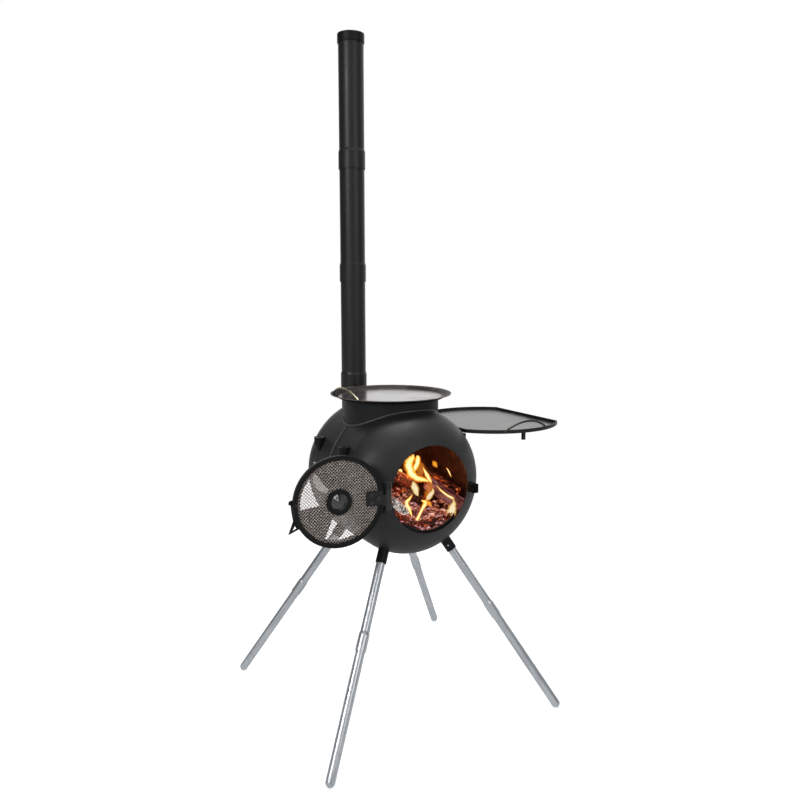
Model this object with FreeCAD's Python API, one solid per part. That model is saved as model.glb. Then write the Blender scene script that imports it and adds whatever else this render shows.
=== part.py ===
import FreeCAD, Part
import math
import os

# Portable steel chiminea stove, millimetres.
# Row frame: origin on the floor under the cooking neck, +Z up, door opening faces -Y,
# warming plate on +X, flue towards +Y.

V = FreeCAD.Vector

# ---------------------------------------------------------------- driving dimensions
# Firebox: two equal dished halves on a front-to-back axis.
BODY_Z = 530.0          # height of the firebox axis
BODY_R = 162.5          # outer radius of the cylindrical band
BAND = 87.0             # half length of the cylindrical band
DISH = 107.0            # depth of each dished end
WALL = 3.0              # firebox sheet
DOOR_HOLE_R = 95.0      # door opening
NECK_R = 108.0          # cooking neck, outer
NECK_TOP = 707.6
SEAM = 0.75             # half gap filled by the girth weld

# Hot plate
PAN_Z = 708.0           # underside of the floor
PAN_FLOOR_R = 120.0
PAN_RIM_R = 137.0
PAN_T = 1.5

# Flue
FLUE_Y = 189.0
FLUE_R = 30.0
FLUE_T = 2.0
COLLAR_R = 32.0
COLLAR_L = 40.0
SECTION_L = 305.0
SECTION_PITCH = 265.0
FLUE_Z0 = 702.0         # lower edge of the first section

# Legs
FOOT_X = 283.0
FOOT_Y = 260.0
LEG_Y_SHIFT = -6.0
TOP_X = 77.0
TOP_Y = 101.0
TOP_Z = 393.5
LEG_R = 10.0
LEG_T = 1.2
SOCKET_R = 12.0
SOCKET_BORE = 10.3

# Warming plate
WP_C = (272.0, 0.0)
WP_R = 170.0
WP_IN = 136.0           # inner straight edge
WP_OUT = 392.0          # outer straight edge
WP_Z = 627.5            # underside
WP_LIP = 636.0
PEG_R = 5.0
BOSS_X = 150.0
BOSS_Y = 64.0

# Door (built closed, then swung open about the hinge axis)
HINGE_X = -104.7
HINGE_Y = -177.4
DOOR_R = 94.6
DOOR_OPEN = -187.4      # degrees about +Z, rest position
VENT_HALF = 29.5        # half angle of each vent window
VENT_MID = (22.5, 142.5, 262.5)

OUT = "parts"
os.makedirs(OUT, exist_ok=True)


# ---------------------------------------------------------------- helpers
def cyl(r, h, p, d=V(0, 0, 1)):
    return Part.makeCylinder(r, h, p, d)


def tube(r0, r1, h, p, d=V(0, 0, 1)):
    return cyl(r1, h, p, d).cut(cyl(r0, h + 2, p - d * 1.0, d))


def box(x0, y0, z0, x1, y1, z1):
    return Part.makeBox(x1 - x0, y1 - y0, z1 - z0, V(x0, y0, z0))


def face(points):
    return Part.Face(Part.makePolygon([V(*p) for p in points] + [V(*points[0])]))


def turned_z(profile, x, y):
    """Revolve (r, z) points about the vertical line through x, y."""
    f = face([(r, 0, z) for r, z in profile])
    s = f.revolve(V(0, 0, 0), V(0, 0, 1), 360)
    s.translate(V(x, y, 0))
    return s


def turned_y(profile):
    """Revolve (r, y) points about the firebox axis."""
    f = face([(0, y, BODY_Z + r) for r, y in profile])
    return f.revolve(V(0, 0, BODY_Z), V(0, 1, 0), 360)


def dished(radius, depth, band=BAND):
    """Closed solid: cylinder band with an elliptical dish at each end."""
    edges = []
    c = V(0, -band, BODY_Z)
    e = Part.Ellipse(c + V(0, 0, radius), c + V(0, -depth, 0), c)
    edges.append(Part.ArcOfEllipse(e, 0, math.pi / 2).toShape())
    edges.append(Part.makeLine(V(0, -band, BODY_Z + radius), V(0, band, BODY_Z + radius)))
    c2 = V(0, band, BODY_Z)
    e2 = Part.Ellipse(c2 + V(0, 0, radius), c2 + V(0, depth, 0), c2)
    edges.append(Part.ArcOfEllipse(e2, 0, math.pi / 2).toShape())
    edges.append(Part.makeLine(V(0, band + depth, BODY_Z), V(0, -band - depth, BODY_Z)))
    w = Part.Wire(Part.__sortEdges__(edges))
    f = Part.Face(w)
    return f.revolve(V(0, 0, BODY_Z), V(0, 1, 0), 360)


def solidify(s):
    sols = [x for x in s.Solids if x.Volume > 1.0]
    out = []
    for x in sols:
        if x.Volume < 0:
            x.reverse()
        out.append(x)
    return out[0] if len(out) == 1 else Part.makeCompound(out)


def save(name, s):
    s = solidify(s)
    s.exportStep(os.path.join(OUT, name + ".step"))
    print("%-28s solids %d  vol %.0f  valid %s" % (name, len(s.Solids), s.Volume, s.isValid()))


def wire_arch(p0, pm, p1, r):
    """Round wire bent through three points, with ball-rounded ends."""
    arc = Part.Arc(V(*p0), V(*pm), V(*p1)).toShape()
    t = arc.tangentAt(arc.FirstParameter)
    prof = Part.Wire(Part.makeCircle(r, V(*p0), t))
    return Part.Wire(arc).makePipeShell([prof], True, False)


def open_door(s):
    s = s.copy()
    s.rotate(V(HINGE_X, HINGE_Y, 0), V(0, 0, 1), DOOR_OPEN)
    return s


# ---------------------------------------------------------------- firebox
outer = dished(BODY_R, DISH)
inner = dished(BODY_R - WALL, DISH - WALL)
shell = outer.cut(inner)
neck_hole = cyl(NECK_R - 3.0, 120, V(0, 0, 600))
front = shell.common(box(-200, -260, 300, 200, -SEAM, 760))
front = front.cut(cyl(DOOR_HOLE_R, 120, V(0, -230, BODY_Z), V(0, 1, 0))).cut(neck_hole)
save("body_front_shell", front)
rear = shell.common(box(-200, SEAM, 300, 200, 260, 760)).cut(neck_hole)
rear = rear.cut(cyl(FLUE_R - FLUE_T - 1.5, 85, V(0, FLUE_Y, 575)))
save("body_rear_shell", rear)

bead = turned_y([(159.5, -SEAM), (162.5, -SEAM), (162.5, -2.8), (163.2, -2.1), (163.6, -0.9),
                 (163.6, 0.9), (163.2, 2.1), (162.5, 2.8), (162.5, SEAM), (159.5, SEAM)])
bead = bead.cut(cyl(NECK_R + 3.6, 140, V(0, 0, 600)))
save("girth_weld", bead)

neck = tube(NECK_R - 3.0, NECK_R, NECK_TOP - 600, V(0, 0, 600)).cut(outer)
save("neck_collar", neck)
fat = dished(BODY_R + 2.8, DISH + 2.8)
neck_bead = tube(NECK_R, NECK_R + 3.5, 110, V(0, 0, 600)).common(fat).cut(outer)
save("neck_weld", neck_bead)

# Flue outlet: vertical spigot coped to the rear dish, closed below by a base plate.
spigot = tube(FLUE_R - FLUE_T, FLUE_R, 186.2, V(0, FLUE_Y, 556)).cut(outer)
save("flue_spigot", spigot)
cap = cyl(FLUE_R - FLUE_T, 2.0, V(0, FLUE_Y, 556)).cut(outer)
save("flue_spigot_base", cap)
bolt = cyl(3.0, 5.0, V(-36.0, FLUE_Y - 4, 640), V(1, 0, 0)).fuse(
    face([(-40.0, FLUE_Y - 4 + 5.8 * math.cos(a), 640 + 5.8 * math.sin(a))
          for a in [math.radians(60 * k) for k in range(6)]]).extrude(V(4.0, 0, 0)))
save("spigot_bolt", bolt.cut(cyl(FLUE_R, 100, V(0, FLUE_Y, 600))))

# Door stop lip: crescent inside the bottom of the opening.
lip = tube(89.0, 104.0, 2.0, V(0, -168.6, BODY_Z), V(0, 1, 0))
lip = lip.common(inner).common(box(-64, -170, 400, 64, -166, 470))
save("door_stop_lip", lip)

# Keeper for the door latch, welded beside the opening.
kz0, kz1 = BODY_Z - 17.0, BODY_Z + 2.0
keeper = box(96.5, -192.0, kz0, 110.0, -160.0, kz1).cut(box(90, -189.2, BODY_Z - 9.0, 105.5, -184.9, kz1 + 5))
keeper = keeper.cut(outer)
save("door_keeper", keeper)

# Hinge: body bracket with an upper and a lower knuckle on welded webs.
def knuckle(z0, z1):
    k = cyl(6.5, z1 - z0, V(HINGE_X, HINGE_Y, z0))
    web = box(HINGE_X - 6.0, HINGE_Y, z0, HINGE_X + 1.5, -150.0, z1)
    return k.fuse(web).cut(outer).cut(cyl(3.05, 80, V(HINGE_X, HINGE_Y, z0 - 5)))

bracket = Part.makeCompound([knuckle(545.6, 559.0).Solids[0], knuckle(492.8, 502.4).Solids[0]])
save("hinge_bracket", bracket)
pin = cyl(3.0, 70.0, V(HINGE_X, HINGE_Y, 490.8)).fuse(cyl(4.6, 2.4, V(HINGE_X, HINGE_Y, 559.2)))
save("hinge_pin", pin)

# Blank plate riveted to the left flank.
lab = turned_y([(164.0, -61.0), (165.0, -61.0), (165.0, 71.0), (164.0, 71.0)])
lab = lab.common(box(-170, -61, 500, -150, 71, 560))
rivets = []
for yy in (-55.0, 65.0):
    for a in (-8.6, 8.6):
        d = V(-math.cos(math.radians(a)), 0, math.sin(math.radians(a)))
        base = V(0, yy, BODY_Z) + d * 161.0
        rivets.append(cyl(1.6, 5.0, base, d).fuse(cyl(3.2, 1.0, V(0, yy, BODY_Z) + d * 165.05, d)).cut(outer))
        lab = lab.cut(cyl(1.65, 8.0, V(0, yy, BODY_Z) + d * 160.0, d))
save("blank_plate", lab)
save("blank_plate_rivets", Part.makeCompound([r.Solids[0] for r in rivets]))

# Bosses on the flanks that take the warming plate's pegs.
def boss(sx, sy):
    b = turned_z([(0, 588.0), (6.5, 588.0), (SOCKET_R, 601.0), (SOCKET_R, 618.0), (5.3, 618.0),
                  (5.3, 606.0), (0, 606.0)], sx * BOSS_X, sy * BOSS_Y)
    return b.cut(outer)

for nm, sx in (("left", -1), ("right", 1)):
    save(nm + "_plate_bosses", Part.makeCompound([boss(sx, -1).Solids[0], boss(sx, 1).Solids[0]]))


# ---------------------------------------------------------------- hot plate
pan = turned_z([(0, PAN_Z), (PAN_FLOOR_R, PAN_Z), (129.2, PAN_Z + 5.3), (PAN_RIM_R, PAN_Z + 7.4),
                (PAN_RIM_R, PAN_Z + 9.0), (128.6, PAN_Z + 6.9), (119.4, PAN_Z + PAN_T), (0, PAN_Z + PAN_T)], 0, 0)
save("hot_plate_pan", pan)
hh = wire_arch((-114.4, -62.0, PAN_Z + 7.2), (-120.0, 0, PAN_Z + 26.0), (-114.4, 62.0, PAN_Z + 7.2), 2.4).cut(pan)
save("hot_plate_handle", hh)
lugs = []
for a in (30, 150, 270):
    lug = box(98.0, -6.0, PAN_Z - 8.0, 103.4, 6.0, PAN_Z)
    lug.rotate(V(0, 0, 0), V(0, 0, 1), a)
    lugs.append(lug)
save("hot_plate_lugs", Part.makeCompound(lugs))


# ---------------------------------------------------------------- warming plate
def plate_outline(r, xi, xo, z):
    cx, cy = WP_C
    h0 = math.sqrt(r * r - (xi - cx) ** 2)
    h1 = math.sqrt(r * r - (xo - cx) ** 2)
    a = V(xi, cy - h0, z); b = V(xo, cy - h1, z); c = V(xo, cy + h1, z); d = V(xi, cy + h0, z)
    es = [Part.Arc(a, V(cx, cy - r, z), b).toShape(), Part.makeLine(b, c),
          Part.Arc(c, V(cx, cy + r, z), d).toShape(), Part.makeLine(d, a)]
    return Part.Face(Part.Wire(es))

wp = plate_outline(WP_R, WP_IN, WP_OUT, WP_Z).extrude(V(0, 0, WP_LIP - WP_Z))
wp = wp.cut(plate_outline(WP_R - 1.6, WP_IN + 1.6, WP_OUT - 1.6, WP_Z + 1.5).extrude(V(0, 0, 20)))
save("warming_plate_pan", wp)
wh = wire_arch((203.0, -158.0, WP_Z + 3.2), (265.0, -165.5, WP_LIP + 17.0), (327.0, -156.0, WP_Z + 3.2), 2.4).cut(wp)
save("warming_plate_handle", wh)
pegs = [cyl(PEG_R, h, V(x, y, WP_Z - h)) for x, y, h in
        ((BOSS_X, -BOSS_Y, 21.0), (BOSS_X, BOSS_Y, 21.0), (297.0, -111.0, 30.0), (297.0, 111.0, 30.0))]
save("warming_plate_pegs", Part.makeCompound(pegs))


# ---------------------------------------------------------------- flue sections
def section(z0):
    ri = FLUE_R - FLUE_T
    return turned_z([(FLUE_R + 0.3, z0), (COLLAR_R, z0), (COLLAR_R, z0 + COLLAR_L), (FLUE_R, z0 + COLLAR_L + 6),
                     (FLUE_R, z0 + SECTION_L), (ri, z0 + SECTION_L), (ri, z0 + 40.6), (FLUE_R + 0.3, z0 + 40.6)], 0, FLUE_Y)

for i, nm in enumerate(("flue_lower", "flue_middle", "flue_upper")):
    save(nm, section(FLUE_Z0 + i * SECTION_PITCH))
top = FLUE_Z0 + 2 * SECTION_PITCH + SECTION_L
band = turned_z([(FLUE_R, top - 21), (COLLAR_R - 0.4, top - 21), (COLLAR_R, top - 19.5), (COLLAR_R, top - 1.5),
                 (COLLAR_R - 0.6, top), (FLUE_R, top)], 0, FLUE_Y)
save("flue_top_band", band)


# ---------------------------------------------------------------- legs
def leg_frame(sx, sy):
    f = V(sx * FOOT_X, LEG_Y_SHIFT + sy * FOOT_Y, LEG_R)
    t = V(sx * TOP_X, LEG_Y_SHIFT + sy * TOP_Y, TOP_Z)
    d = (t - f)
    return f, d.Length, V(d.x, d.y, d.z).normalize()


def place(s, f, d):
    s = s.copy()
    s.Placement = FreeCAD.Placement(f, FreeCAD.Rotation(V(0, 0, 1), d)).multiply(s.Placement)
    return s

LEGS = (("front_left", -1, -1), ("front_right", 1, -1), ("rear_left", -1, 1), ("rear_right", 1, 1))
HOLE_DIR = {"front_left": V(-0.61, 0.79, 0), "front_right": V(-0.61, -0.79, 0),
            "rear_left": V(0.61, 0.79, 0), "rear_right": V(0.61, -0.79, 0)}
for nm, sx, sy in LEGS:
    f, L, d = leg_frame(sx, sy)
    # socket welded to the firebox
    s0 = 0.93 * L
    sock = tube(SOCKET_BORE, SOCKET_R, 0.12 * L, f + d * s0, d).cut(outer)
    hd = HOLE_DIR[nm]
    hd = (hd - d * hd.dot(d)).normalize()
    sock = sock.cut(cyl(2.6, 16, f + d * (s0 + 13.0), hd))
    save("leg_socket_" + nm, sock)
    # upper tube with its lower end expanded
    e0 = 0.53 * L
    t1 = 0.985 * L
    ri = LEG_R - LEG_T
    prof = [(10.25, e0), (11.6, e0), (11.6, e0 + 34), (LEG_R, e0 + 41), (LEG_R, t1 - 1.5), (LEG_R - 0.7, t1),
            (ri, t1), (ri, e0 + 33), (10.25, e0 + 33)]
    save("leg_upper_" + nm, place(turned_z(prof, 0, 0), f, d))
    # lower tube with a rolled, rounded foot end
    low_top = e0 + 32.0
    lower = cyl(LEG_R, low_top, V(0, 0, 0)).fuse(Part.makeSphere(LEG_R))
    lower = lower.cut(cyl(ri, low_top + 5, V(0, 0, 0))).cut(Part.makeSphere(ri)).cut(cyl(4.5, 20, V(0, 0, -15)))
    save("leg_lower_" + nm, place(lower, f, d))
    plug = cyl(4.5, 12, V(0, 0, -12)).common(Part.makeSphere(LEG_R - 0.1)).fuse(
        cyl(8.7, 6, V(0, 0, 0.0))).cut(cyl(5.5, 5, V(0, 0, 1.5)))
    save("foot_plug_" + nm, place(plug, f, d))


# ---------------------------------------------------------------- door, closed position
Y0 = HINGE_Y


def disc(r0, r1, ya, yb):
    """Ring about the door's own axis between two depths, ya outermost."""
    return tube(r0, r1, yb - ya, V(0, ya, BODY_Z), V(0, 1, 0)) if r0 > 0 else cyl(r1, yb - ya, V(0, ya, BODY_Z), V(0, 1, 0))


def vents(r0, r1, ya, yb):
    out = []
    for m in VENT_MID:
        a0, a1 = math.radians(m - VENT_HALF), math.radians(m + VENT_HALF)
        pts = [(r0 * math.cos(a0), r0 * math.sin(a0))]
        n = 14
        for k in range(n + 1):
            a = a0 + (a1 - a0) * k / n
            pts.append((r1 * math.cos(a), r1 * math.sin(a)))
        for k in range(5):
            a = a1 + (a0 - a1) * k / 4
            if k < 4:
                pts.append((r0 * math.cos(a), r0 * math.sin(a)))
        out.append(face([(x, ya, BODY_Z + z) for x, z in pts]).extrude(V(0, yb - ya, 0)))
    return out

BOLTS = ((-66.0, 9.0), (-82.0, 0.5), (-66.0, -8.0))
LPX, LPZ = 88.2, 3.0
bolt_holes = [cyl(2.55, 30, V(x, Y0 - 15, BODY_Z + z), V(0, 1, 0)) for x, z in BOLTS]
rivet_hole = cyl(2.05, 30, V(LPX, Y0 - 15, BODY_Z + LPZ), V(0, 1, 0))


def drilled(s, bolts=True):
    if bolts:
        for b in bolt_holes:
            s = s.cut(b)
    return s.cut(rivet_hole)

ring = disc(91.6, DOOR_R, Y0 - 8.0, Y0).fuse(disc(85.0, 91.8, Y0 - 3.0, Y0 - 1.0))
save("door_ring", open_door(drilled(ring)))
mesh = disc(20.2, 91.4, Y0 - 3.9, Y0 - 3.1)
save("door_mesh", open_door(drilled(mesh)))
vent = disc(20.2, 91.4, Y0 - 5.8, Y0 - 4.4)
for v in vents(31.0, 79.0, Y0 - 8, Y0):
    vent = vent.cut(v)
save("door_vent_plate", open_door(drilled(vent)))
clamp = disc(85.0, 91.5, Y0 - 7.8, Y0 - 5.9)
save("door_clamp_ring", open_door(drilled(clamp, False)))
hub = disc(17.0, 20.0, Y0 - 15.0, Y0 - 2.9).fuse(disc(17.0, 26.0, Y0 - 3.0, Y0 + 0.4))
save("door_hub", open_door(hub))
nut = disc(20.0, 26.0, Y0 - 11.5, Y0 - 8.5)
save("door_hub_ring", open_door(nut))

leaf = box(-91.0, Y0 + 0.1, 516.0, -57.5, Y0 + 3.1, 545.0)
arm = box(HINGE_X, Y0 + 0.1, 512.0, -90.5, Y0 + 3.1, 536.0)
barrel = cyl(6.5, 42.4, V(HINGE_X, HINGE_Y, 502.8))
leaf = leaf.fuse(arm).fuse(barrel).cut(cyl(3.08, 80, V(HINGE_X, HINGE_Y, 490)))
for b in bolt_holes:
    leaf = leaf.cut(b)
save("door_hinge_leaf", open_door(leaf.removeSplitter()))
pad = box(-84.8, Y0 - 3.0, 516.0, -57.5, Y0 + 0.05, 545.0).common(disc(0, 84.8, Y0 - 5, Y0 + 5))
for b in bolt_holes:
    pad = pad.cut(b)
save("door_hinge_pad", open_door(pad))
bolts = []
for x, z in BOLTS:
    p = V(x, Y0 - 5.8, BODY_Z + z)
    head = cyl(4.2, 2.2, V(x, Y0 + 3.1, BODY_Z + z), V(0, 1, 0)).cut(cyl(1.7, 2, V(x, Y0 + 4.0, BODY_Z + z), V(0, 1, 0)))
    bolts.append(cyl(2.5, 8.9, p, V(0, 1, 0)).fuse(head))
save("door_hinge_bolts", open_door(Part.makeCompound([b.Solids[0] for b in bolts])))

# Damper disc turns on the hub, with a bent tab to move it.
damper = disc(20.5, 82.0, Y0 - 7.8, Y0 - 6.3)
for v in vents(31.0, 79.0, Y0 - 9, Y0):
    damper = damper.cut(v)
save("damper_disc", open_door(damper))
tab = box(-7.0, Y0 - 22.0, 62.0, 7.0, Y0 - 7.8, 64.0).fuse(box(-7.0, Y0 - 9.8, 56.0, 7.0, Y0 - 7.8, 64.0))
tab.rotate(V(0, 0, 0), V(0, 1, 0), 0)
tab.translate(V(0, 0, BODY_Z))
tab.rotate(V(0, 0, BODY_Z), V(0, -1, 0), 82.5 - 90.0)
save("damper_tab", open_door(tab))

# Latch lever hung from a rivet near the free edge, with a triangular eye.
ly0, ly1 = Y0 - 11.1, Y0 - 8.2


def flat(points):
    return face([(x, ly0, BODY_Z + z) for x, z in points]).extrude(V(0, ly1 - ly0, 0))

lever = flat([(82.0, 11.5), (96.5, 11.5), (100.8, 8.5), (100.8, 2.8), (96.8, 2.6), (95.5, -12.0), (92.5, -31.0),
              (102.5, -57.0), (81.0, -48.0), (83.5, -30.0), (82.0, -8.0)])
lever = lever.cut(flat([(89.6, -40.2), (95.0, -50.2), (86.2, -46.4)]))
lever = lever.cut(cyl(2.3, 10, V(LPX, ly0 - 3, BODY_Z + LPZ), V(0, 1, 0)))
save("latch_lever", open_door(lever))
riv = cyl(2.0, 10.9, V(LPX, Y0 - 11.9, BODY_Z + LPZ), V(0, 1, 0)).fuse(
    cyl(4.2, 1.6, V(LPX, Y0 - 13.1, BODY_Z + LPZ), V(0, 1, 0))).fuse(
    cyl(3.4, 1.2, V(LPX, Y0 - 1.0, BODY_Z + LPZ), V(0, 1, 0)))
save("latch_rivet", open_door(riv))
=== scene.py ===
import math
import random

import bpy
import numpy as np
from mathutils import Matrix, Vector, noise


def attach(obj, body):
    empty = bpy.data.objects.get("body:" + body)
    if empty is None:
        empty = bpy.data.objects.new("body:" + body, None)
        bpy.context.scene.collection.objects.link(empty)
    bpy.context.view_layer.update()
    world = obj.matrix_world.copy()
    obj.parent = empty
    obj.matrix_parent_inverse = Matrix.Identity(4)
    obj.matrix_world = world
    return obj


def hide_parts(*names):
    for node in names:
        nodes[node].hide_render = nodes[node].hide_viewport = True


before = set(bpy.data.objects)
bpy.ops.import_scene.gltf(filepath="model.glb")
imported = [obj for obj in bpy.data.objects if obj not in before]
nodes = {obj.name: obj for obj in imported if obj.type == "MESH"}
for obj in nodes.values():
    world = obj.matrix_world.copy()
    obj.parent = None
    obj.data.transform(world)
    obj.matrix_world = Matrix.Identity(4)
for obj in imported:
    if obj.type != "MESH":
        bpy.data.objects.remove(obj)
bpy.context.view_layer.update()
scene = bpy.context.scene
rad = math.radians


# ================================================================ camera
cam_data = bpy.data.cameras.new("camera")
cam_data.lens = 33.91
cam_data.sensor_width = 36.0
cam_data.clip_start = 0.05
cam = bpy.data.objects.new("camera", cam_data)
cam.location = (-0.82654, -1.48443, 0.95262)
cam.rotation_euler = (rad(81.525), 0.0, rad(-29.817))
scene.collection.objects.link(cam)
scene.camera = cam

scene.view_settings.view_transform = "Standard"
scene.view_settings.look = "None"
scene.view_settings.exposure = 0.0
scene.view_settings.gamma = 1.0


# ================================================================ material helper
class Mat:
    """Small builder around one material's node tree."""

    def __init__(self, name):
        self.m = bpy.data.materials.new(name)
        self.m.use_nodes = True
        self.t = self.m.node_tree
        self.t.nodes.clear()
        self.out = self.n("ShaderNodeOutputMaterial")
        self._obj = None

    def n(self, kind, i=None, **props):
        nd = self.t.nodes.new(kind)
        for k, v in props.items():
            setattr(nd, k, v)
        for k, v in (i or {}).items():
            self.put(nd.inputs[k], v)
        return nd

    def put(self, sock, v):
        if isinstance(v, bpy.types.NodeSocket):
            self.t.links.new(v, sock)
        else:
            sock.default_value = v

    def obj(self):
        if self._obj is None:
            self._obj = self.n("ShaderNodeTexCoord").outputs["Object"]
        return self._obj

    def mapped(self, vec=None, loc=(0, 0, 0), rot=(0, 0, 0), scale=(1, 1, 1)):
        return self.n("ShaderNodeMapping", {"Vector": vec or self.obj(), "Location": loc, "Rotation": rot,
                                            "Scale": scale}).outputs[0]

    def noise(self, scale, vec=None, detail=4.0, rough=0.55, dist=0.0):
        return self.n("ShaderNodeTexNoise", {"Vector": vec or self.obj(), "Scale": scale, "Detail": detail,
                                             "Roughness": rough, "Distortion": dist}).outputs[0]

    def voronoi(self, scale, vec=None, feature="F1", rnd=1.0):
        return self.n("ShaderNodeTexVoronoi", {"Vector": vec or self.obj(), "Scale": scale, "Randomness": rnd},
                      feature=feature).outputs["Distance"]

    def ramp(self, fac, stops, interp="LINEAR"):
        nd = self.n("ShaderNodeValToRGB", {"Fac": fac})
        nd.color_ramp.interpolation = interp
        els = nd.color_ramp.elements
        while len(els) < len(stops):
            els.new(0.5)
        for e, (p, c) in zip(els, stops):
            e.position = p
            e.color = (c, c, c, 1) if isinstance(c, float) else (*c, 1)
        return nd.outputs[0]

    def rng(self, v, a, b, c, d, clamp=True):
        return self.n("ShaderNodeMapRange", {"Value": v, "From Min": a, "From Max": b, "To Min": c, "To Max": d},
                      clamp=clamp).outputs[0]

    def math(self, op, a, b=0.0, clamp=False):
        nd = self.n("ShaderNodeMath", operation=op, use_clamp=clamp)
        self.put(nd.inputs[0], a)
        self.put(nd.inputs[1], b)
        return nd.outputs[0]

    def mix(self, fac, a, b, mode="MIX"):
        nd = self.n("ShaderNodeMix", data_type="RGBA", blend_type=mode)
        self.put(nd.inputs[0], fac)
        for s, v in ((nd.inputs[6], a), (nd.inputs[7], b)):
            self.put(s, (*v, 1) if isinstance(v, tuple) and len(v) == 3 else v)
        return nd.outputs[2]

    def mixf(self, fac, a, b):
        nd = self.n("ShaderNodeMix", data_type="FLOAT")
        for s, v in ((nd.inputs[0], fac), (nd.inputs[2], a), (nd.inputs[3], b)):
            self.put(s, v)
        return nd.outputs[0]

    def xyz(self, vec=None):
        return self.n("ShaderNodeSeparateXYZ", {"Vector": vec or self.obj()}).outputs

    def attr(self, name):
        return self.n("ShaderNodeAttribute", attribute_name=name).outputs["Fac"]

    def bump(self, height, dist, strength=1.0, normal=None):
        nd = self.n("ShaderNodeBump", {"Height": height, "Distance": dist, "Strength": strength})
        if normal:
            self.put(nd.inputs["Normal"], normal)
        return nd.outputs[0]

    def shade(self, base, rough, metallic=0.0, normal=None, **extra):
        b = self.n("ShaderNodeBsdfPrincipled")
        self.put(b.inputs["Base Color"], (*base, 1) if isinstance(base, tuple) else base)
        self.put(b.inputs["Roughness"], rough)
        self.put(b.inputs["Metallic"], metallic)
        if normal:
            self.put(b.inputs["Normal"], normal)
        for k, v in extra.items():
            self.put(b.inputs[k.replace("_", " ")], v)
        self.t.links.new(b.outputs[0], self.out.inputs[0])
        return self.m


def lin(r, g, b):
    """sRGB 0-255 to linear."""
    f = lambda c: c / 12.92 if c <= 0.04045 else ((c + 0.055) / 1.055) ** 2.4
    return tuple(f(v / 255.0) for v in (r, g, b))


def paint(name, dark, light, rough=(0.42, 0.56), grit=1100.0, grit_d=0.00004, chip=None, stretch=None, spec=0.4):
    """Heat-proof paint or primer: mottled tone, fine orange peel, a few rubbed spots."""
    M = Mat(name)
    v = M.mapped(scale=stretch) if stretch else M.obj()
    big = M.noise(9.0, v, 5, 0.6)
    mid = M.noise(55.0, v, 4, 0.6)
    fine = M.noise(grit, None, 2, 0.5)
    tone = M.math("ADD", M.math("MULTIPLY", big, 0.6), M.math("MULTIPLY", mid, 0.4))
    col = M.ramp(tone, [(0.34, dark), (0.66, light)])
    col = M.mix(M.rng(fine, 0.35, 0.7, 0.0, 0.22), col, tuple(min(1, c * 1.6) for c in light))
    r = M.rng(M.math("ADD", M.math("MULTIPLY", mid, 0.7), M.math("MULTIPLY", fine, 0.3)), 0.35, 0.65, rough[0], rough[1])
    if chip:
        spots = M.rng(M.noise(170.0, None, 6, 0.7), 0.70, 0.74, 0.0, 1.0)
        col = M.mix(M.math("MULTIPLY", spots, 0.55), col, chip)
    h = M.math("ADD", fine, M.math("MULTIPLY", mid, 1.4))
    return M.shade(col, r, 0.0, M.bump(h, grit_d, 0.9), Specular_IOR_Level=spec)


def firebox_paint():
    """Outside: satin heat-proof paint. Inside: soot with rusty, heat-reddened scale."""
    M = Mat("firebox_paint")
    x, y, z = M.xyz()[0:3]
    zc = M.math("SUBTRACT", z, 0.53)
    r2 = M.math("ADD", M.math("MULTIPLY", x, x), M.math("MULTIPLY", zc, zc))
    ay = M.math("DIVIDE", M.math("MAXIMUM", M.math("SUBTRACT", M.math("ABSOLUTE", y), 0.087), 0.0), 0.107)
    e = M.math("ADD", M.math("DIVIDE", r2, 0.1625 ** 2), M.math("MULTIPLY", ay, ay))
    outside = M.rng(e, 0.988, 0.995, 0.0, 1.0)
    big = M.noise(7.0, None, 5, 0.6)
    mid = M.noise(48.0, None, 5, 0.6)
    fine = M.noise(1150.0, None, 2, 0.5)
    tone = M.math("ADD", M.math("MULTIPLY", big, 0.6), M.math("MULTIPLY", mid, 0.4))
    col = M.ramp(tone, [(0.34, (0.0150, 0.0152, 0.0165)), (0.66, (0.0225, 0.0228, 0.0245))])
    col = M.mix(M.rng(fine, 0.35, 0.72, 0.0, 0.18), col, (0.050, 0.050, 0.054))
    # wiped streaks running down the flanks
    wipe = M.noise(30.0, M.mapped(scale=(1.0, 1.0, 0.22)), 6, 0.65, 0.4)
    col = M.mix(M.rng(wipe, 0.52, 0.78, 0.0, 0.14), col, (0.060, 0.059, 0.061))
    soot = M.ramp(M.noise(26.0, None, 8, 0.7, 0.6), [(0.30, (0.010, 0.006, 0.005)), (0.50, (0.060, 0.024, 0.013)),
                                                     (0.74, (0.16, 0.062, 0.028))])
    soot = M.mix(M.rng(y, -0.178, -0.152, 0.85, 0.0), soot, (0.008, 0.005, 0.004))
    col = M.mix(outside, soot, col)
    rough_out = M.rng(M.math("ADD", M.math("MULTIPLY", mid, 0.6), M.math("MULTIPLY", fine, 0.4)), 0.35, 0.65, 0.40, 0.52)
    rough = M.mixf(outside, 0.9, rough_out)
    h = M.math("ADD", fine, M.math("MULTIPLY", mid, 1.6))
    return M.shade(col, rough, 0.0, M.bump(h, 0.00005, 0.9), Specular_IOR_Level=0.42)


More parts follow.
